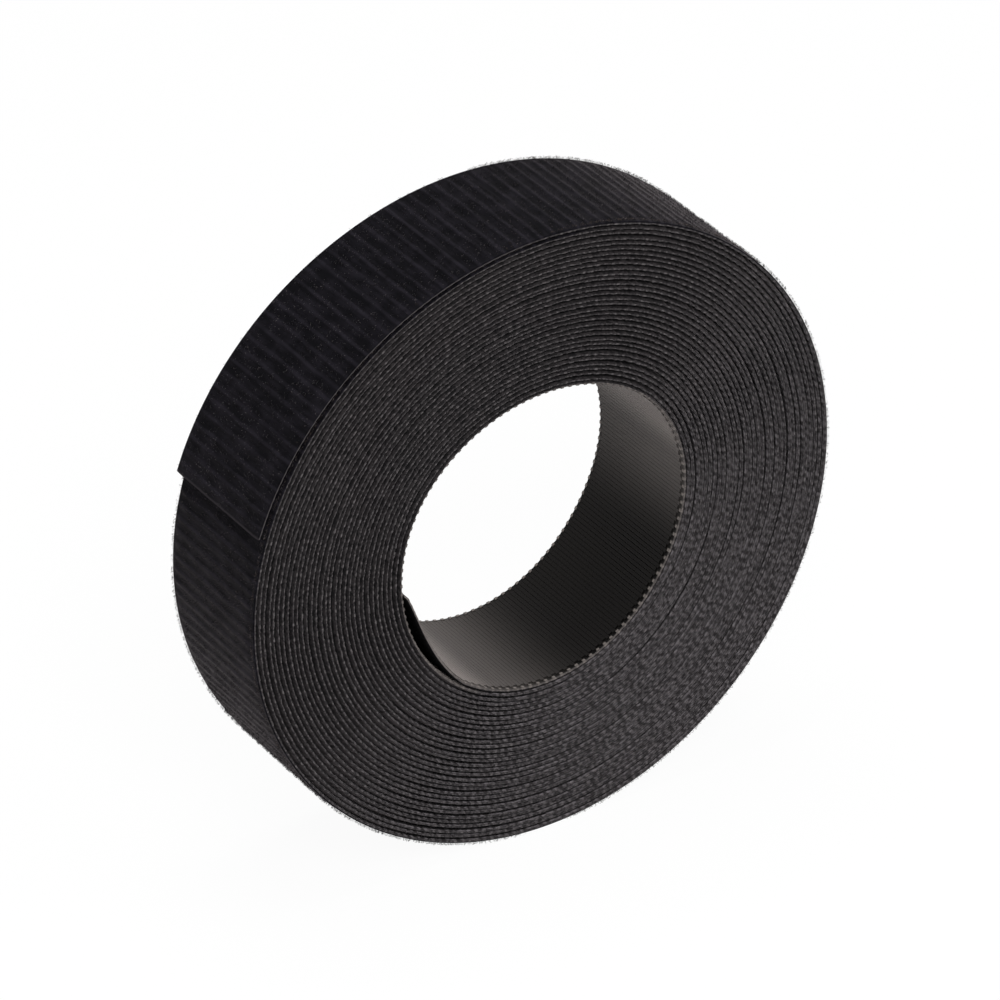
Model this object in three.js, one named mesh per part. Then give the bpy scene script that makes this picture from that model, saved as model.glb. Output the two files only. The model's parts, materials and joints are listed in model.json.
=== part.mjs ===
import * as THREE from 'three';

// A coreless roll of back-to-back hook and loop tape, standing on its rim.
// The tape is a moulded hook web bonded face to face on a brushed loop web, wound with its hooks inwards.
// Millimetres, +Z up. The roll's axis lies along Y and its front face looks towards -Y.

// Tape
const tapeWidth = 20;
const hookWebThickness = 0.28;
const loopWebThickness = 0.28;

// Roll. Each turn is a ring of straight steps, and the radii are taken at the middles of the steps.
const rollRadius = 44.5;
const boreRadius = 21;
const stepsPerTurn = 24;
const wholeTurns = 22;

// Angles in degrees, from the roll's left (-X) down (-Z) and round, seen from the front.
const bottomAngle = 90;
const innerEndAngle = 4.8;
const outerEndAngle = 342.5;

// Underside: the steps under the axis are level and pressed in, to half a millimetre inside the round.
const footRise = 0.12;

// Inner free end: its last stretch leaves the wall of the bore and its tip comes back to it.
const innerEndFinish = 3;
const innerEndPieces = 2;
const innerEndBow = 1.2;

// Outer free end: its last stretch stands off the turn below, most at its square cut.
const outerEndPieces = 4;
const outerEndLift = 0.42;

// Clearance between two pieces of the tape that bend on one line.
const jointGap = 0.3;

const hookFace = 0;
const bondLine = hookWebThickness;
const loopFace = hookWebThickness + loopWebThickness;

// Places along the winding are counted in steps. Whole numbers are its corners, and a step is centred below.
const stepAngle = 360 / stepsPerTurn;
const bottomStep = Math.floor(bottomAngle / stepAngle) - 0.5;
const firstStep = bottomStep - (bottomAngle - innerEndAngle) / stepAngle;
const lastStep = wholeTurns * stepsPerTurn + bottomStep + (outerEndAngle - bottomAngle) / stepAngle;
const outerEndStart = Math.floor(lastStep) - outerEndPieces;
const innerEndCorners = [];
for (let piece = 0; piece <= innerEndPieces; piece += 1) {
  innerEndCorners.push(THREE.MathUtils.lerp(firstStep, innerEndFinish, piece / innerEndPieces));
}
const pitch = ((rollRadius - boreRadius - loopFace) * stepsPerTurn) / (lastStep - firstStep);

// How far the hook face lies from the axis at the middle of a step, if it were the step at this place.
function windingRadius(step) {
  const fromBottom = THREE.MathUtils.euclideanModulo(step - bottomStep + 1, stepsPerTurn) - 1;
  const level = Math.abs(fromBottom) < 1;
  const turns = ((level ? step - fromBottom : step) - firstStep) / stepsPerTurn;
  let radius = boreRadius + pitch * turns - (level ? footRise : 0);
  if (step > firstStep && step < innerEndFinish) {
    radius -= innerEndBow;
  }
  if (step > outerEndStart) {
    const liftShare = (step - outerEndStart) / (lastStep - outerEndStart);
    radius += outerEndLift * liftShare ** 2;
  }
  return radius;
}

// A point of the winding at a place along it, a height above the hook face, as x and z from the axis.
function corner(step, height) {
  const fromMiddle = THREE.MathUtils.degToRad((step - Math.floor(step) - 0.5) * stepAngle);
  const angle = THREE.MathUtils.degToRad(bottomAngle + (step - bottomStep) * stepAngle);
  const radius = (windingRadius(step) + height) / Math.cos(fromMiddle);
  return new THREE.Vector2(-Math.cos(angle), -Math.sin(angle)).multiplyScalar(radius);
}

// The corners from one place to another, which needn't be whole steps themselves.
function cornersBetween(start, finish, height) {
  const corners = [corner(start, height)];
  for (let step = Math.floor(start) + 1; step < finish; step += 1) {
    corners.push(corner(step, height));
  }
  corners.push(corner(finish, height));
  return corners;
}

// One face of a stretch of tape, drawn back at each jointed end by half the joint gap.
function faceLine(stretch, height) {
  const points = stretch.corners(height);
  const bond = stretch.corners(bondLine);
  const drawnBack = (end, next) => {
    const share = jointGap / 2 / bond.at(end).distanceTo(bond.at(next));
    return points.at(end).clone().lerp(points.at(next), share);
  };
  const start = stretch.jointedStart ? drawnBack(0, 1) : points.at(0);
  const finish = stretch.jointedFinish ? drawnBack(-1, -2) : points.at(-1);
  return [start, ...points.slice(1, -1), finish];
}

// A web of a stretch of tape, between two heights above the hook face.
function webGeometry(stretch, lowHeight, highHeight) {
  const outline = [...faceLine(stretch, lowHeight), ...faceLine(stretch, highHeight).reverse()];
  const geometry = new THREE.ExtrudeGeometry(new THREE.Shape(outline), {
    depth: tapeWidth,
    bevelEnabled: false,
  });
  geometry.rotateX(Math.PI / 2);
  geometry.translate(0, tapeWidth / 2, 0);
  return geometry;
}

function hookWeb(stretch) {
  const material = new THREE.MeshStandardMaterial({ color: 0x383334, roughness: 0.55, metalness: 0 });
  const mesh = new THREE.Mesh(webGeometry(stretch, hookFace, bondLine), material);
  mesh.name = `hook_web_${stretch.name}`;
  return mesh;
}

function loopWeb(stretch) {
  const material = new THREE.MeshStandardMaterial({ color: 0x18171c, roughness: 0.95, metalness: 0 });
  const mesh = new THREE.Mesh(webGeometry(stretch, bondLine, loopFace), material);
  mesh.name = `loop_web_${stretch.name}`;
  return mesh;
}

// A group that stands at the line across the tape where a stretch bends, with the stretch's two webs on it.
function flap(carrier, stretch, hingeStep, hingeHeight) {
  const hinge = corner(hingeStep, hingeHeight);
  const group = new THREE.Group();
  group.name = `${stretch.name}_hinge`;
  group.position.set(hinge.x, 0, hinge.y);
  carrier.attach(group);
  group.attach(hookWeb(stretch));
  group.attach(loopWeb(stretch));
  return group;
}

// The least distance between the loop face of one turn and the hook face of the turn wound over it.
function leastGapBetweenTurns() {
  const sidesOf = (height) => {
    const innerEnd = innerEndCorners.slice(0, -1).map((step) => corner(step, height));
    const points = [...innerEnd, ...cornersBetween(innerEndFinish, lastStep, height)];
    const places = points.map((point) => new THREE.Vector3(point.x, 0, point.y));
    return places.slice(1).map((place, index) => new THREE.Line3(places[index], place));
  };
  const loopSides = sidesOf(loopFace);
  const hookSides = sidesOf(hookFace);
  const closest = new THREE.Vector3();
  const distance = (side, point) => side.closestPointToPoint(point, true, closest).distanceTo(point);
  let least = Infinity;
  loopSides.forEach((loopSide, index) => {
    for (const hookSide of hookSides.slice(index + stepsPerTurn / 2, index + 2 * stepsPerTurn)) {
      least = Math.min(least, distance(hookSide, loopSide.start), distance(hookSide, loopSide.end));
      least = Math.min(least, distance(loopSide, hookSide.start), distance(loopSide, hookSide.end));
    }
  });
  return least;
}

const roll = new THREE.Group();
roll.name = 'hook_and_loop_tape_roll';

// The wound turns, from the line where the inner end starts to the line where the outer end starts.
const coil = {
  name: 'coil',
  corners: (height) => cornersBetween(innerEndFinish, outerEndStart, height),
  jointedStart: true,
  jointedFinish: true,
};
roll.add(hookWeb(coil), loopWeb(coil));

// The inner free end bends into the bore, on lines at its hook face.
let innerCarrier = roll;
for (let piece = 1; piece <= innerEndPieces; piece += 1) {
  const [tipStep, hingeStep] = innerEndCorners.slice(-piece - 1).slice(0, 2);
  const stretch = {
    name: `inner_end_${piece}`,
    corners: (height) => [corner(tipStep, height), corner(hingeStep, height)],
    jointedStart: piece < innerEndPieces,
    jointedFinish: true,
  };
  innerCarrier = flap(innerCarrier, stretch, hingeStep, hookFace);
}

// The outer free end peels off the roll, on lines at its loop face.
let outerCarrier = roll;
for (let piece = 1; piece <= outerEndPieces; piece += 1) {
  const hingeStep = outerEndStart + piece - 1;
  const tipStep = piece < outerEndPieces ? hingeStep + 1 : lastStep;
  const stretch = {
    name: `outer_end_${piece}`,
    corners: (height) => cornersBetween(hingeStep, tipStep, height),
    jointedStart: true,
    jointedFinish: piece < outerEndPieces,
  };
  outerCarrier = flap(outerCarrier, stretch, hingeStep, loopFace);
}

console.log(`least gap between turns: ${leastGapBetweenTurns().toFixed(3)} mm`);

// The roll stands on Z = 0 with its outline centred on the origin.
const bounds = new THREE.Box3().setFromObject(roll);
roll.position.set(-bounds.getCenter(new THREE.Vector3()).x, 0, -bounds.min.z);

export default roll;
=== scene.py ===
import json
import math

import bmesh
import bpy
import numpy as np
from mathutils import Euler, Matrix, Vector, noise


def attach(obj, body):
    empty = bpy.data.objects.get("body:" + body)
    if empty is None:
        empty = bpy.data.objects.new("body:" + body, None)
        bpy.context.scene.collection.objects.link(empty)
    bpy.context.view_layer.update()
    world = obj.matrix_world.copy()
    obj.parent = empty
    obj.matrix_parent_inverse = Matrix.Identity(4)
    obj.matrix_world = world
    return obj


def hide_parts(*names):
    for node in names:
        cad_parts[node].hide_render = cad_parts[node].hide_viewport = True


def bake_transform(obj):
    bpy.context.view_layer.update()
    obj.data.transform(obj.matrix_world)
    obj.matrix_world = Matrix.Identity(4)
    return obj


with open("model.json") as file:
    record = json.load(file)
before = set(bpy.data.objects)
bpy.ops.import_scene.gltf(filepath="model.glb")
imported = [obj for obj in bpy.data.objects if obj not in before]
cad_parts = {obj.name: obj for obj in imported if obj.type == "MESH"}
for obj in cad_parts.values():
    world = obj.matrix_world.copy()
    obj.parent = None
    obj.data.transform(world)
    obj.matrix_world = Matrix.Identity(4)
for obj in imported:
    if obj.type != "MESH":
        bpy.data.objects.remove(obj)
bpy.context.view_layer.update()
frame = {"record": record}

mm = 0.001


# Hook web of the wound turns. The tape's inward side is a thin moulded nylon web with rows of hooks
# across it. Between the bore and the rim only its two edges show: a pale line in each turn, with the
# ends of its rows bridging the gap to the turn below.
tape_width = 20 * mm
hook_height = 0.16 * mm
hook_web = 0.20 * mm
loop_web = 0.20 * mm
pile_height = 0.13 * mm
tape_thickness = hook_height + hook_web + loop_web + pile_height
edge_gauge = 1.17 * mm
row_end_width = 0.62 * mm
row_end_setback = 0.43 * mm
row_end_slant = 0.02 * mm
hollow_share = 0.9
web_slant = 0.03 * mm
web_lip = 0.04 * mm
edge_raggedness = 0.08 * mm

# The roll is a flat spiral. Its axis is the CAD roll's, raised by what the CAD presses flat underneath.
bore_radius = 21.0 * mm
roll_radius = 44.5 * mm
axis_rise = 0.6 * mm
mounts = {mount["name"]: mount["pos_m"] for mount in frame["record"]["mounts"]}
axis_x = mounts["resting_rim"][0]
axis_z = mounts["front_side"][2] + axis_rise

# Angles run from the roll's left down and round, seen from the front, and go on from turn to turn.
whole_turns = 32
inner_end = 4.8
outer_end = 342.0 + whole_turns * 360
pitch = (roll_radius - bore_radius - tape_thickness) / ((outer_end - inner_end) / 360)

# A hand-wound roll is never quite round or even: two- and three-sided slackness at the bore and at the
# rim, turns that wander in and out, and edges that don't stand quite level.
slack_waves = (2, 2, 3, 3)
slack_phases = (0, 90, 0, 90)
bore_slack = (-0.14 * mm, 0.29 * mm, 0.06 * mm, -0.31 * mm)
rim_slack = (-0.18 * mm, 0.17 * mm, 0.12 * mm, -0.17 * mm)
wander_waves = (0.37, 1.43, 2.61, 4.35, 6.78)
wander_sizes = (0.030 * mm, 0.028 * mm, 0.020 * mm, 0.014 * mm, 0.008 * mm)
level_waves = (0.83, 2.29, 5.57)
level_sizes = (0.07 * mm, 0.04 * mm, 0.02 * mm)

# The inner end springs off the bore's wall as a flatter curve, and the outer end stands off the rim.
inner_bow = 1.05 * mm
inner_bow_finish = 54
inner_bow_skew = 0.68
outer_lift = 0.42 * mm
outer_lift_start = outer_end - 52


def length_at(angle):
    """How far along the tape from its inner end a place on the winding lies."""
    turned = math.radians(angle - inner_end)
    return bore_radius * turned + pitch * turned**2 / (4 * math.pi)


def turned_at(along):
    """How far the winding has turned, in radians, where it reaches a length of the tape."""
    return (np.sqrt(bore_radius**2 + pitch * along / math.pi) - bore_radius) * 2 * math.pi / pitch


def between_rows(angle):
    """The angle, near the given one, that lies halfway between two rows."""
    row = math.floor(length_at(angle) / edge_gauge)
    return inner_end + math.degrees(turned_at((row + 0.5) * edge_gauge))


def row_numbers(start, finish):
    """The counts of the rows, along the whole tape, that lie between two angles."""
    room = 0.49
    first = math.ceil(length_at(start) / edge_gauge + room)
    last = math.floor(length_at(finish) / edge_gauge - room)
    return np.arange(first, last + 1)


# Stretches: the bore turn shows its hooks, the rim turn its pile, and the tail is what peels off. They
# meet where the tape bends or goes out of sight, and always between two rows.
lead_middle = between_rows(40.6)
bore_turn_start = between_rows(64.4)
bore_turn_finish = between_rows(430)
middle_turn = between_rows(19 * 360)
tail_start = between_rows(270 + whole_turns * 360)


def wound(flat):
    """Where points of the flat tape come to lie: along it, across it and up from its hook tips."""
    along, across, height = flat.T
    turned = turned_at(along)
    angle = turned + math.radians(inner_end)
    radius = bore_radius + pitch * turned / (2 * math.pi)
    outwards = (radius - bore_radius) / (roll_radius - bore_radius)
    for waves, phase, at_bore, at_rim in zip(slack_waves, slack_phases, bore_slack, rim_slack):
        slack = at_bore + (at_rim - at_bore) * outwards
        radius = radius + slack * np.cos(waves * angle - math.radians(phase))
    for waves, size in zip(wander_waves, wander_sizes):
        radius = radius + size * np.sin(waves * turned + waves)
    for waves, size in zip(level_waves, level_sizes):
        across = across + size * np.sin(waves * turned - waves)
    bowed = np.clip((np.degrees(angle) - inner_end) / (inner_bow_finish - inner_end), 0, 1)
    radius = radius - inner_bow * np.sin(math.pi * bowed**inner_bow_skew)
    lifted = np.clip((np.degrees(angle) - outer_lift_start) / (outer_end - outer_lift_start), 0, None)
    radius = radius + outer_lift * lifted**2 + height
    return np.column_stack([axis_x - radius * np.cos(angle), across, axis_z - radius * np.sin(angle)])


def swept_mesh(along, section):
    """A closed solid of the flat tape. Each place along it has a ring of (across, height) points."""
    columns = len(along) - 1
    ring = section.shape[1]
    weld_distance = 0.001 * mm
    bm = bmesh.new()
    bmesh.ops.create_grid(bm, x_segments=columns, y_segments=ring, size=0.5)
    for vert in bm.verts:
        column = round((vert.co.x + 0.5) * columns)
        corner = round((vert.co.y + 0.5) * ring) % ring
        across, height = section[column, corner]
        vert.co = (along[column], across, height)
    bmesh.ops.remove_doubles(bm, verts=bm.verts, dist=weld_distance)
    rims = [edge for edge in bm.edges if edge.is_boundary]
    for edge in rims:
        edge.smooth = False
    bmesh.ops.holes_fill(bm, edges=rims)
    bmesh.ops.recalc_face_normals(bm, faces=bm.faces)
    return bm


def tape_piece(name, solids, finish, smooth=False):
    """Winds flat solids into one piece. The flat place of each point stays on it for its finish."""
    mesh = bpy.data.meshes.new(name)
    together = bmesh.new()
    for bm in solids:
        part = bpy.data.meshes.new("part")
        bm.to_mesh(part)
        together.from_mesh(part)
        bm.free()
        bpy.data.meshes.remove(part)
    bmesh.ops.reverse_faces(together, faces=together.faces)
    together.to_mesh(mesh)
    together.free()
    flat = np.empty(len(mesh.vertices) * 3)
    mesh.vertices.foreach_get("co", flat)
    place = mesh.attributes.new("tape", "FLOAT_VECTOR", "POINT")
    place.data.foreach_set("vector", flat)
    mesh.vertices.foreach_set("co", wound(flat.reshape(-1, 3)).ravel())
    mesh.polygons.foreach_set("use_smooth", [smooth] * len(mesh.polygons))
    mesh.update()
    mesh.materials.append(finish.material)
    piece = bpy.data.objects.new(name, mesh)
    bpy.context.scene.collection.objects.link(piece)
    return piece


def linear(hex_colour):
    """A colour as it is written on a screen, as the shader's linear numbers."""
    parts = [int(hex_colour[place:place + 2], 16) / 255 for place in (0, 2, 4)]
    return (*[part / 12.92 if part <= 0.04045 else ((part + 0.055) / 1.055) ** 2.4 for part in parts], 1)


class Wire:
    """A value in a finish, with the sums that the finishes use."""

    def __init__(self, finish, socket):
        self.finish = finish
        self.socket = socket

    def __add__(self, other):
        return self.finish.maths("ADD", self, other)

    def __sub__(self, other):
        return self.finish.maths("SUBTRACT", self, other)

    def __rsub__(self, other):
        return self.finish.maths("SUBTRACT", other, self)

    def __mul__(self, other):
        return self.finish.maths("MULTIPLY", self, other)

    __radd__ = __add__
    __rmul__ = __mul__


class Wiring:
    """The nodes of a material or of the surroundings."""

    def __init__(self, tree):
        self.tree = tree

    def fill(self, socket, value):
        if isinstance(value, Wire):
            self.tree.links.new(value.socket, socket)
        else:
            socket.default_value = value

    def node(self, kind, settings=(), sockets=None, output=0):
        node = self.tree.nodes.new("ShaderNode" + kind)
        for setting, value in settings:
            setattr(node, setting, value)
        for socket, value in (sockets or {}).items():
            self.fill(node.inputs[socket], value)
        return Wire(self, node.outputs[output])

    def maths(self, operation, *values):
        return self.node("Math", [("operation", operation)], dict(enumerate(values)))

    def vector_maths(self, operation, *values):
        return self.node("VectorMath", [("operation", operation)], dict(enumerate(values)))

    def stretch(self, vector, shares):
        return self.vector_maths("MULTIPLY", vector, shares)

    def noise(self, vector, scale, detail=2.0):
        return self.node("TexNoise", (), {"Vector": vector, "Scale": scale, "Detail": detail})

    def between(self, value, low, high):
        """0 up to low, 1 from high, and smooth between them."""
        ends = {"Value": value, "From Min": low, "From Max": high}
        return self.node("MapRange", [("interpolation_type", "SMOOTHSTEP")], ends)

    def mix(self, share, first, second):
        return self.node("Mix", [("data_type", "RGBA")], {0: share, 6: first, 7: second}, 2)


# The marks of the cut edges, which every finish of the tape can have. Scales are counts to the metre.
patch_scale = 1.3 / edge_gauge
fluff_scale = 2800
first_rub_fade = 14
first_rub_share = 0.9
last_rub_fade = 6
last_rub_share = 0.5


class Finish(Wiring):
    """A material, built on the one shader that every piece of the tape has."""

    def __init__(self, name, **constants):
        self.material = bpy.data.materials.new(name)
        self.material.use_nodes = True
        super().__init__(self.material.node_tree)
        self.shader = self.tree.nodes["Principled BSDF"]
        self.show(**constants)

    def show(self, **values):
        """Gives the shader's own sockets their values, by their names in small letters."""
        for name, value in values.items():
            socket = name.replace("_", " ").title().replace("Ior", "IOR")
            self.fill(self.shader.inputs[socket], value)

    def tape(self):
        """Along, across and up from the hook tips, in metres, wherever the tape is bent to."""
        place = self.node("Attribute", [("attribute_name", "tape")], output=1)
        return place, [self.node("SeparateXYZ", (), {"Vector": place}, axis) for axis in range(3)]

    def near_edges(self, across, far, near):
        """0 further from the cut edges than the far distance, and 1 within the near one."""
        from_middle = self.maths("ABSOLUTE", across)
        return self.between(from_middle, tape_width / 2 - far, tape_width / 2 - near)

    def rows(self, along, low, high):
        """1 at the middle of each row and 0 between the rows."""
        turned = along * (2 * math.pi / edge_gauge)
        return self.between(self.maths("COSINE", turned), low, high)

    def beads(self, place, along):
        """The pale ends of the hook rows on the cut edges, each of its own strength, and torn fluff."""
        row = self.rows(along, -0.2, 0.9)
        patches = self.noise(self.stretch(place, (1, 0.1, 0.1)), patch_scale, 1.0)
        strength = self.between(patches, 0.35, 0.7)
        fluff = self.noise(place, fluff_scale)
        return row * (0.05 + 0.8 * strength) + 3.4 * (fluff - 0.46)

    def rubbed(self, beads, along):
        """The first and last stretch of the tape have their edges rubbed smooth, the first one pale."""
        first_fade_start = length_at(inner_bow_finish - first_rub_fade)
        first = 1 - self.between(along, first_fade_start, length_at(inner_bow_finish))
        last = self.between(along, length_at(tail_start), length_at(tail_start + last_rub_fade))
        return beads * (1 - first - last) + first_rub_share * first + last_rub_share * last

    def overlay(self, share, shader):
        """Lays another shader over the finish's own, by a share."""
        own = Wire(self, self.shader.outputs[0])
        mixed = self.node("MixShader", (), {0: share, 1: own, 2: shader})
        self.fill(self.tree.nodes["Material Output"].inputs["Surface"], mixed)


# Painted shade: the row ends by the edges, deep in the slots between the turns, are coloured near black.
row_end_painted_shade = linear("0e0d0e")
# Painted sheen: the hook web's faces in the wound turns, further in and at the edges' margin, are pale grey.
inside_painted_sheen = linear("302e2f")
margin_sheen_dim = linear("3c393a")
margin_sheen_bright = linear("7a7578")
hook_dark = linear("0d0c0b")
hook_tip = linear("151312")
hook_sheen = linear("b8afab")
edge_dim = linear("292728")
edge_bead = linear("5a5657")
bore_dim = linear("4a4645")
bore_bead = linear("6a6461")
burr_colour = linear("7c7571")

# Where each look comes in: how far from the cut edges, how far up from the hook tips, and over how many
# degrees it fades where the bore turn ends.
cut_edge = (0.25 * mm, 0.05 * mm)
edge_margin = (0.60 * mm, 0.35 * mm)
tip_heights = (0.009 * mm, 0.012 * mm)
margin_heights = (0.11 * mm, 0.15 * mm)
bore_fade = 20
fleck_scale = 1700
grain_scale = 9000
grain_depth = 0.02 * mm

hook_finish = Finish("hook_web_nylon", roughness=0.4, specular_ior_level=0.06)
place, (along, across, height) = hook_finish.tape()
at_edge = hook_finish.near_edges(across, *cut_edge)
near_edge = hook_finish.near_edges(across, *edge_margin)
near_tip = 1 - hook_finish.between(height, *tip_heights)
beads = hook_finish.rubbed(hook_finish.beads(place, along), along)
bore_fade_start = length_at(bore_turn_finish - bore_fade)
in_bore = 1 - hook_finish.between(along, bore_fade_start, length_at(bore_turn_finish))
on_burr = near_edge * in_bore * hook_finish.rows(along, 0.0, 0.8) * (1 - at_edge)
dim_colour = hook_finish.mix(in_bore, edge_dim, bore_dim)
bead_colour = hook_finish.mix(in_bore, edge_bead, bore_bead)
edge_colour = hook_finish.mix(beads, dim_colour, bead_colour)
# The margin's speckle of rows and flecks is the web's own pattern. The pale grey under it is painted sheen.
flecks = hook_finish.between(hook_finish.noise(place, fleck_scale), 0.3, 0.7)
speckle = 0.6 * hook_finish.rows(along, -0.7, 0.7) + 1.1 * (flecks - 0.3)
margin_sheen_colour = hook_finish.mix(speckle, margin_sheen_dim, margin_sheen_bright)
sheen_margin_mask = near_edge * hook_finish.between(height, *margin_heights)
wound_painted_light = hook_finish.mix(sheen_margin_mask, hook_finish.mix(near_edge, inside_painted_sheen, row_end_painted_shade), margin_sheen_colour)
body_colour = hook_finish.mix(in_bore, wound_painted_light, hook_finish.mix(near_tip, hook_dark, hook_tip))
grain = hook_finish.noise(place, grain_scale, 3.0)
hook_finish.show(
    base_color=hook_finish.mix(on_burr, hook_finish.mix(at_edge, body_colour, edge_colour), burr_colour),
    roughness=0.34 + 0.2 * grain,
    normal=hook_finish.node("Bump", (), {"Strength": 0.35, "Distance": grain_depth, "Height": grain}),
)

# The hooks' glossy heads catch the light where the bore's wall turns away from whoever looks at it.
object_place = hook_finish.node("TexCoord", output=3)
from_axis = hook_finish.vector_maths("SUBTRACT", object_place, (axis_x, 0, axis_z))
wall = hook_finish.vector_maths("NORMALIZE", hook_finish.stretch(from_axis, (-1, 0, -1)))
facing_away = hook_finish.node("LayerWeight", (), {"Blend": 0.5, "Normal": wall}, 1)
faint_sheen = 0.18 * hook_finish.between(facing_away, 0.33, 0.62)
strong_sheen = 0.28 * hook_finish.between(facing_away, 0.62, 0.80)
sheen_share = (faint_sheen + strong_sheen) * (1 - at_edge) * in_bore * (0.5 + 0.5 * near_tip)
sheen = hook_finish.node("BsdfDiffuse", (), {"Color": hook_sheen, "Roughness": 0.5})
hook_finish.overlay(sheen_share, sheen)


def comb_solid(start, finish):
    """The hook web with its rows as plain bars, whose ends stand back from the tape's edges."""
    rows = row_numbers(start, finish)
    half = row_end_width / 2
    rings = (rows[:, None] * edge_gauge + [-half, -half, half, half]).ravel()
    along = np.concatenate([[length_at(start)], rings, [length_at(finish)]])
    edge = tape_width / 2
    row_end = edge - row_end_setback

    def section(depth):
        margin = [(edge, hook_height + hook_web), (edge - web_slant, hook_height + web_lip)]
        side = margin + [(row_end, hook_height), (row_end - row_end_slant, depth)]
        return [(-across, height) for across, height in side] + side[::-1]

    web = section(hook_height * hollow_share)
    bar = section(0)
    sections = np.array([web] + [web, bar, bar, web] * len(rows) + [web])
    ragged = np.random.default_rng(round(start)).uniform(-1, 1, (2, len(sections), 2)) * edge_raggedness
    sections[:, [1, 6], 1] += ragged[0]
    sections[:, [2, 5], 0] += ragged[1]
    sections[:, [3, 4], 0] += ragged[1]
    return swept_mesh(along, sections)


for name, start, finish in (("inner", bore_turn_finish, middle_turn), ("outer", middle_turn, tail_start)):
    hook_web_turns = tape_piece(f"hook_web_{name}_turns", [comb_solid(start, finish)], hook_finish)
    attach(hook_web_turns, "coil")
    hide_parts("hook_web_coil")


# Hook web of the bore turn. The innermost turn shows its rows of hooks as the wall of the bore. Each
# hook is moulded in one piece with the web and leans along the tape, and the next row leans the other way.
row_gauge = edge_gauge / 2
hook_gauge = 0.60 * mm
hook_root = 0.57 * mm
hook_head = 0.53 * mm
hook_breadth = 0.585 * mm
hook_bend = 0.01 * mm
plain_margin = 0.60 * mm

# Shares of the hooks' height: how tall stem and head are, and how far from the tips the stem's middle is.
stem_share = 0.7
head_share = 0.3
stem_middle_share = 0.7

# The cut leaves a burr at both ends of every other row, sized by the row's end and the hooks' height.
burr_width_share = 0.7
burr_height_share = 0.6
burr_middle_share = 0.8
burr_depth = 0.45 * mm
burr_inset = 0.08 * mm

# The web under the hooks is swollen at every other row, and its edges slant in towards the hooks.
base_swell = 0.04 * mm
base_inset = 0.03 * mm
base_face_slant = 0.10 * mm
base_middle_slant = 0.02 * mm
base_step = edge_gauge / 4


def hook_pair():
    """Two hooks of neighbouring rows that stand on the web's face, their heads bent opposite ways."""
    bm = bmesh.new()
    stem_height = hook_height * stem_share
    for row, lean in enumerate((1, -1)):
        hook = bmesh.ops.create_cube(bm, size=1)["verts"]
        faces = {face for vert in hook for face in vert.link_faces}
        neck = min(faces, key=lambda face: face.calc_center_median().z)
        head = bmesh.ops.extrude_discrete_faces(bm, faces=[neck])["faces"][0]
        bmesh.ops.scale(bm, verts=hook, vec=(hook_root, hook_breadth, stem_height))
        bmesh.ops.scale(bm, verts=head.verts, vec=(hook_head, hook_breadth, stem_height))
        bmesh.ops.translate(bm, verts=head.verts, vec=(lean * hook_bend, 0, -hook_height * head_share))
        along = (row + 0.5) * row_gauge - lean * hook_bend
        across = (row - 0.5) * hook_gauge / 2
        whole = list({*hook, *head.verts})
        bmesh.ops.translate(bm, verts=whole, vec=(along, across, hook_height * stem_middle_share))
    return bm


def burr_pair():
    """The burrs at both ends of a row, just inside the tape's edges."""
    bm = bmesh.new()
    size = (row_end_width * burr_width_share, burr_depth, hook_height * burr_height_share)
    for side in (-1, 1):
        burr = bmesh.ops.create_cube(bm, size=1)["verts"]
        bmesh.ops.scale(bm, verts=burr, vec=size)
        across = side * (tape_width / 2 - burr_inset - burr_depth / 2)
        bmesh.ops.translate(bm, verts=burr, vec=(0, across, hook_height * burr_middle_share))
    return bm


def repeated(unit, steps):
    """Copies of a small shape at each of the steps, as one mesh."""
    mesh = bpy.data.meshes.new("unit")
    unit.to_mesh(mesh)
    unit.free()
    bm = bmesh.new()
    place = np.empty(len(mesh.vertices) * 3)
    mesh.vertices.foreach_get("co", place)
    place = place.reshape(-1, 3)
    for step in steps:
        mesh.vertices.foreach_set("co", (place + step).ravel())
        bm.from_mesh(mesh)
    bpy.data.meshes.remove(mesh)
    return bm


def hook_field(start, finish):
    """Rows of hooks over the whole width between two angles."""
    across = int((tape_width - 2 * plain_margin) / hook_gauge)
    first = -(across - 1) / 2 * hook_gauge
    steps = [
        (row * edge_gauge - row_gauge, first + hook * hook_gauge, 0)
        for row in row_numbers(start, finish) for hook in range(across)
    ]
    return repeated(hook_pair(), steps)


def burrs(start, finish):
    """Burrs at the rows' ends between two angles."""
    return repeated(burr_pair(), [(row * edge_gauge, 0, 0) for row in row_numbers(start, finish)])


def hook_base(start, finish):
    """The web under the hooks between two angles."""
    spans = round((length_at(finish) - length_at(start)) / base_step)
    along = np.linspace(length_at(start), length_at(finish), spans + 1)
    swell = base_swell * np.cos(2 * math.pi * along / edge_gauge)
    edge = tape_width / 2 + swell - base_inset
    low = np.full_like(along, hook_height)
    top = np.full_like(along, hook_height + hook_web)
    middle = (low + top) / 2
    side = [(edge - base_face_slant, low), (edge - base_middle_slant, middle), (edge, top)]
    ring = side + [(-across, height) for across, height in reversed(side)]
    return swept_mesh(along, np.array(ring).transpose(2, 0, 1))


def hook_solids(start, finish):
    """The hook web where its hooks show."""
    return [hook_base(start, finish), hook_field(start, finish)]


bore_solids = hook_solids(bore_turn_start, bore_turn_finish) + [burrs(bore_turn_start, bore_turn_finish)]
hook_web_bore_turn = tape_piece("hook_web_bore_turn", bore_solids, hook_finish)
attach(hook_web_bore_turn, "coil")
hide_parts("hook_web_coil")


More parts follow.
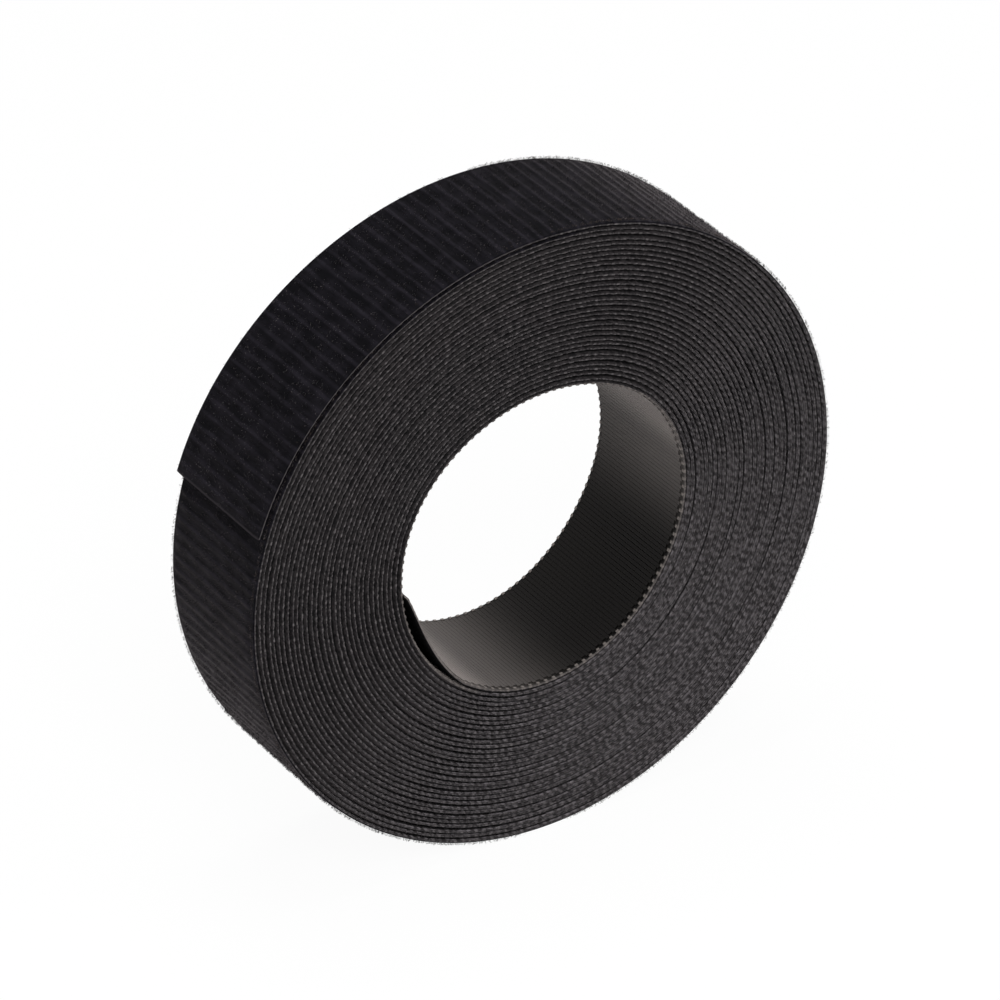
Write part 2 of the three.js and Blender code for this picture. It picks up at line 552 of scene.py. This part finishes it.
# Loop web of the wound turns. The tape's outward side is a knitted web, bonded to the back of the hook
# web and brushed into a low pile. Its cut edge shares the pale line; its pile, painted shade, is the dark
# gap.
rim_turn_span = 365
rim_turn_finish = tail_start
rim_turn_start = rim_turn_finish - rim_turn_span
bond = hook_height + hook_web
knit_step = edge_gauge / 2
knit_inset = 0.03 * mm
lip_slant = 0.03 * mm
lip_height = 0.05 * mm
pile_slope = 0.90 * mm
pile_overlap = 0.06 * mm

# Painted shade: the deepest tone of the pile inside the roll, in the gaps between the turns.
pile_shade_deep = linear("0e0e0f")
pile_dark = linear("060609")
pile_light = linear("222026")
nap_colour = linear("110f0f")
fringe_colour = linear("3a3330")
cut_colour = linear("282528")
fuzz_dark = linear("1a191a")
fuzz_light = linear("322f30")
sheen_tint = (1, 0.88, 0.9, 1)

# Where each look comes in: how far from the cut edges, how far up from the hook tips, how far along the
# tape, and over how many degrees the pile opens to the light.
fringe_edge = (0.60 * mm, 0.20 * mm)
web_edge_heights = (bond + 0.01 * mm, bond + 0.05 * mm)
raised_heights = (tape_thickness + 0.06 * mm, tape_thickness + 0.12 * mm)
tip_cut = (length_at(outer_end) - 0.40 * mm, length_at(outer_end) - 0.10 * mm)
opening_fade = 5
rib_gauge = 1.82 * mm
rib_sway = 0.35 * mm
sway_scale = 500
nap_scale = 1700
nap_depth = 0.06 * mm
mottle_scale = 350
fuzz_scale = 1900


def brushed_finish(name, open_from, shade_tones, sheen):
    """The brushed web, with painted shade on its pile up to the angle from which it lies open to the light.
    """
    finish = Finish(
        name, roughness=0.95, specular_ior_level=0.06,
        sheen_weight=sheen, sheen_roughness=0.3, sheen_tint=sheen_tint,
    )
    place, (along, across, height) = finish.tape()
    at_edge = finish.near_edges(across, *fringe_edge)
    in_web = 1 - finish.between(height, *web_edge_heights)
    beads = finish.rubbed(finish.beads(place, along), along)
    raised = finish.between(height, *raised_heights)
    nap = finish.noise(finish.stretch(place, (1, 0.12, 1)), nap_scale)
    mottle = finish.noise(place, mottle_scale)
    sway = finish.noise(finish.stretch(place, (1, 0.5, 1)), sway_scale, 1.0)
    rib_turn = (along + rib_sway * sway) * (2 * math.pi / rib_gauge)
    # Painted highlight: the ribs' crests are coloured lighter and stand in for part of their shading. The nap
    # and mottle are the pile's own uneven tone.
    rib_crest_highlight = finish.between(finish.maths("COSINE", rib_turn), 0.3, 1.05)
    pile_tone_and_highlight = 0.4 * rib_crest_highlight + 0.9 * (nap - 0.42) + 1.0 * (mottle - 0.44)
    at_cut = finish.between(along, *tip_cut)
    pile_colour = finish.mix(at_cut, finish.mix(pile_tone_and_highlight, pile_dark, pile_light), cut_colour)
    pile_colour = finish.mix(raised, pile_colour, finish.mix(at_edge, nap_colour, fringe_colour))
    # Painted shade: inside the roll, up to where it opens to the light, the pile away from the edges takes
    # shade tones.
    roll_shade_share = 1 - finish.between(along, length_at(open_from - opening_fade), length_at(open_from))
    fuzz = finish.between(finish.noise(place, fuzz_scale), 0.35, 0.65)
    deepest_shade, roll_dark, roll_light = shade_tones
    shaded_pile = finish.mix(pile_tone_and_highlight, deepest_shade, roll_dark)
    fuzz_colour = finish.mix(roll_shade_share, pile_colour, finish.mix(fuzz, roll_dark, roll_light))
    edge_colour = finish.mix(in_web, fuzz_colour, finish.mix(beads, edge_dim, edge_bead))
    finish.show(
        base_color=finish.mix(at_edge, finish.mix(roll_shade_share, pile_colour, shaded_pile), edge_colour),
        normal=finish.node("Bump", (), {"Strength": 0.4, "Distance": nap_depth, "Height": nap}),
    )
    return finish


loop_finish = brushed_finish("loop_web_pile", rim_turn_start, (pile_shade_deep, fuzz_dark, fuzz_light), 0.2)


def plain_loop_solid(start, finish):
    """The loop web where only its edges show. Its pile slopes in and up to the next turn's hooks."""
    spans = round((length_at(finish) - length_at(start)) / knit_step)
    along = np.linspace(length_at(start), length_at(finish), spans + 1)
    edge = tape_width / 2 - knit_inset * (np.arange(spans + 1) % 2)
    low = np.full_like(along, bond)
    next_turn = np.full_like(along, pitch + pile_overlap)
    side = [(edge, low), (edge - lip_slant, low + lip_height), (edge - pile_slope, next_turn)]
    ring = [(-across, height) for across, height in side] + side[::-1]
    sections = np.array(ring).transpose(2, 0, 1)
    ragged = np.random.default_rng(round(start)).uniform(-1, 1, (len(sections), 2)) * edge_raggedness
    sections[:, [1, 4], 1] += ragged
    return swept_mesh(along, sections)


loop_solid = plain_loop_solid(bore_turn_start, rim_turn_start)
loop_web_turns = tape_piece("loop_web_turns", [loop_solid], loop_finish)
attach(loop_web_turns, "coil")
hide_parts("loop_web_coil")


# Loop web of the rim turn. The outermost turn shows its brushed side all round: a soft pile with low
# ribs across the tape, and single loops that stand out of it.
pile_setback = 0.20 * mm
pile_threads = 24
rib_height = 0.09 * mm
rib_spans = 7
lie_height = 0.02 * mm
lie_span = 0.6 * mm
tuft_height = 0.05 * mm
tuft_span = 1.3 * mm
fray_height = 0.50 * mm
fray_span = 0.9 * mm
nap_loop_span = 0.36 * mm
nap_loop_rise = 0.22 * mm
nap_loop_root = 0.05 * mm
nap_loop_sizes = (0.6, 1.5)
nap_thread = 0.03 * mm
nap_per_square = 5.0 / mm**2
fringe_width = 0.40 * mm


def pile_rise(along, share):
    """How high the pile stands at a place, from the ribs of the knitting and the lie of the brushed loops."""
    rib = rib_height * ((0.5 + 0.5 * math.cos(2 * math.pi * along / rib_gauge)) ** 2 - 0.6)
    lie = noise.noise(Vector((along / lie_span, share * 5, 0)))
    tuft = noise.noise(Vector((along / tuft_span, share * 9, 7)))
    fray = max(0, noise.noise(Vector((along / fray_span, math.copysign(30, share), 3))))
    shoulder = 1 - abs(share) ** 20
    rise = shoulder * (0.85 * pile_height + rib + lie_height * lie + tuft_height * tuft)
    return rise + fray_height * fray * abs(share) ** 9 * (1 - abs(share) ** 40)


def pile_solid(start, finish):
    """The loop web with its pile."""
    spans = round((length_at(finish) - length_at(start)) / (rib_gauge / rib_spans))
    along = np.linspace(length_at(start), length_at(finish), spans + 1)
    low = np.full_like(along, bond)
    top = low + loop_web
    edge = np.full_like(along, tape_width / 2)
    web_edge = edge - pile_setback / 2
    ring = [(-edge, low), (edge, low), (web_edge, top)]
    for thread in range(pile_threads + 1):
        share = 1 - 2 * thread / pile_threads
        rise = np.array([pile_rise(place, share) for place in along])
        ring.append((share * (edge - pile_setback), top + rise))
    ring.append((-web_edge, top))
    return swept_mesh(along, np.array(ring).transpose(2, 0, 1))


def nap_loop():
    """One loop of thread, as a flat arch of two spans."""
    bm = bmesh.new()
    bmesh.ops.create_grid(bm, x_segments=2, y_segments=1, size=0.5)
    for vert in bm.verts:
        bow = 1 - (2 * vert.co.x) ** 2
        tilt = vert.co.y * nap_thread * 0.7
        vert.co = (vert.co.x * nap_loop_span, tilt, bow * nap_loop_rise + tilt)
    return bm


def nap_field(start, finish, fringe_share):
    """Loops strewn over the pile, each turned its own way, and thickest along the cut edges."""
    begin, end = length_at(start), length_at(finish)
    count = int((end - begin) * tape_width * nap_per_square)
    chance = np.random.default_rng(round(start) + 1)
    across = chance.uniform(-0.49, 0.49, count) * tape_width
    fringe = chance.random(count) < fringe_share
    at_fringe = np.sign(across) * (tape_width / 2 - chance.uniform(0.1, 1, count) * fringe_width)
    places = np.column_stack([
        chance.uniform(begin + nap_loop_span, end - nap_loop_span, count),
        np.where(fringe, at_fringe, across),
        np.full(count, tape_thickness - nap_loop_root),
    ])
    turns = chance.uniform(0, math.pi, count)
    sizes = chance.uniform(*nap_loop_sizes, count)
    bm = repeated(nap_loop(), places)
    shape = np.array([vert.co for vert in bm.verts]).reshape(count, -1, 3) - places[:, None]
    turned = np.stack([
        shape[..., 0] * np.cos(turns)[:, None] - shape[..., 1] * np.sin(turns)[:, None],
        shape[..., 0] * np.sin(turns)[:, None] + shape[..., 1] * np.cos(turns)[:, None],
        shape[..., 2],
    ], axis=-1) * sizes[:, None, None]
    for vert, co in zip(bm.verts, (turned + places[:, None]).reshape(-1, 3)):
        vert.co = co
    return bm


def loop_solids(start, finish, fringe_share=0):
    """The loop web where its pile shows."""
    return [pile_solid(start, finish), nap_field(start, finish, fringe_share)]


rim_solids = loop_solids(rim_turn_start, rim_turn_finish, 0.2)
loop_web_rim_turn = tape_piece("loop_web_rim_turn", rim_solids, loop_finish, smooth=True)
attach(loop_web_rim_turn, "coil")
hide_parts("loop_web_coil")


# The free ends. The tape's last stretch peels off the rim and its first bends into the bore, so each is made
# in lengths one after another, cut square at the tip.
bend_span = 15
seam_nudge = 0.1
lead_bend_finish = 16.7
lead_open_from = outer_end + 10


def on_tape(angle):
    """A point of the winding in the middle of the tape's width, where its hooks stand on their web."""
    return wound(np.array([[length_at(angle), 0, hook_height]]))[0]


def free_length(free_end, body, start, finish, bend_start, bend_finish, pile_finish):
    """Both webs of one length of a free end, as wound, taking the place of that body's CAD webs."""
    webs = (("hook", hook_solids, hook_finish, False), ("loop", loop_solids, pile_finish, True))
    for web, solids, web_finish, smooth in webs:
        piece = tape_piece(f"{free_end}_{web}_{body[-1]}", solids(start, finish), web_finish, smooth)
        on_tape(bend_start)
        on_tape(bend_finish)
        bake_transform(piece)
        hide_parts(f"{web}_web_{body}")


tail_seams = [between_rows(tail_start + bend_span * bend + seam_nudge) for bend in range(4)] + [outer_end]
for count, (start, finish) in enumerate(zip(tail_seams, tail_seams[1:]), 1):
    body = f"outer_end_{count}"
    free_length("tail", body, start, finish, start, min(finish, start + bend_span), loop_finish)

# The pile of the inner end lies against the wall of the bore, in its shade, so it is painted dark all along.
lead_painted_shade = (linear("040404"), linear("0f0e10"), linear("040404"))
lead_finish = brushed_finish("loop_web_pile_inside", lead_open_from, lead_painted_shade, 0.0)

lead_lengths = ((lead_middle, bore_turn_start, lead_middle), (inner_end, lead_middle, lead_bend_finish))
for count, (start, finish, bend_finish) in enumerate(lead_lengths, 1):
    body = f"inner_end_{count}"
    free_length("lead", body, start, finish, finish, bend_finish, lead_finish)


# Floor. A plain white sheet that the roll stands on. The camera sees it as the photograph's white
# ground, with the roll's light shadow on it.
floor_half = 3.0
floor_colour = (0.9, 0.9, 0.9, 1)
plain_white = (1, 1, 1, 1)
ground_share = 0.95

bm = bmesh.new()
bmesh.ops.create_grid(bm, x_segments=1, y_segments=1, size=floor_half)
floor_mesh = bpy.data.meshes.new("floor")
bm.to_mesh(floor_mesh)
bm.free()
floor = bpy.data.objects.new("floor", floor_mesh)
bpy.context.scene.collection.objects.link(floor)
floor_finish = Finish("floor_white", roughness=1.0, base_color=floor_colour)


def seen_white(finish):
    """1 for the camera, and for what shows in gloss or through something clear."""
    camera_ray, glossy_ray, clear_ray = [finish.node("LightPath", output=output) for output in (0, 3, 6)]
    return finish.maths("MAXIMUM", camera_ray, finish.maths("MAXIMUM", glossy_ray, clear_ray))


white_ground = floor_finish.node("Emission", (), {"Color": plain_white, "Strength": 1.0})
floor_finish.overlay(seen_white(floor_finish) * ground_share, white_ground)
floor_mesh.materials.append(floor_finish.material)


# Light. Plain white surroundings, and three large soft lamps turned to the roll's middle, which give
# the turns their shape. Places are in metres and powers in watts.
tent_light = 0.3
lamp_size = 0.5
lamps = (
    ("key_lamp", (-0.3, -0.75, 0.85), 8.0),
    ("fill_lamp", (0.8, -0.5, 0.5), 2.5),
    ("top_lamp", (0, 0.1, 1.05), 4.8),
)
roll_middle = Vector((axis_x, 0, axis_z))

world = bpy.data.worlds.new("tent")
world.use_nodes = True
bpy.context.scene.world = world
tent = Wiring(world.node_tree)
background = world.node_tree.nodes["Background"]
tent.fill(background.inputs["Color"], plain_white)
tent.fill(background.inputs["Strength"], tent_light + (1 - tent_light) * seen_white(tent))

for name, lamp_place, power in lamps:
    light = bpy.data.lights.new(name, "AREA")
    light.size = lamp_size
    light.energy = power
    lamp = bpy.data.objects.new(name, light)
    lamp.location = lamp_place
    lamp.rotation_euler = (Vector(lamp_place) - roll_middle).to_track_quat("Z", "Y").to_euler()
    bpy.context.scene.collection.objects.link(lamp)


# Camera. The photograph's long lens, from the left and above, so far off that the roll's front and
# back look almost the same size. It stands off from the middle of the front face.
azimuth = math.radians(-32.627)
elevation = math.radians(31.146)
camera_right = -0.13305 * roll_radius
camera_up = 0.11228 * roll_radius
camera_back = 19.4515 * roll_radius
face_middle = Vector((axis_x, -tape_width / 2, axis_z))

camera_data = bpy.data.cameras.new("camera")
camera_data.sensor_width = 36
camera_data.lens = 243.6
camera_data.clip_start = 0.01
camera = bpy.data.objects.new("camera", camera_data)
camera.rotation_euler = Euler((math.pi / 2 - elevation, 0, azimuth))
facing = camera.rotation_euler.to_matrix()
camera.location = face_middle + facing @ Vector((camera_right, camera_up, camera_back))
bpy.context.scene.collection.objects.link(camera)
bpy.context.scene.camera = camera
bpy.context.scene.view_settings.view_transform = "Standard"
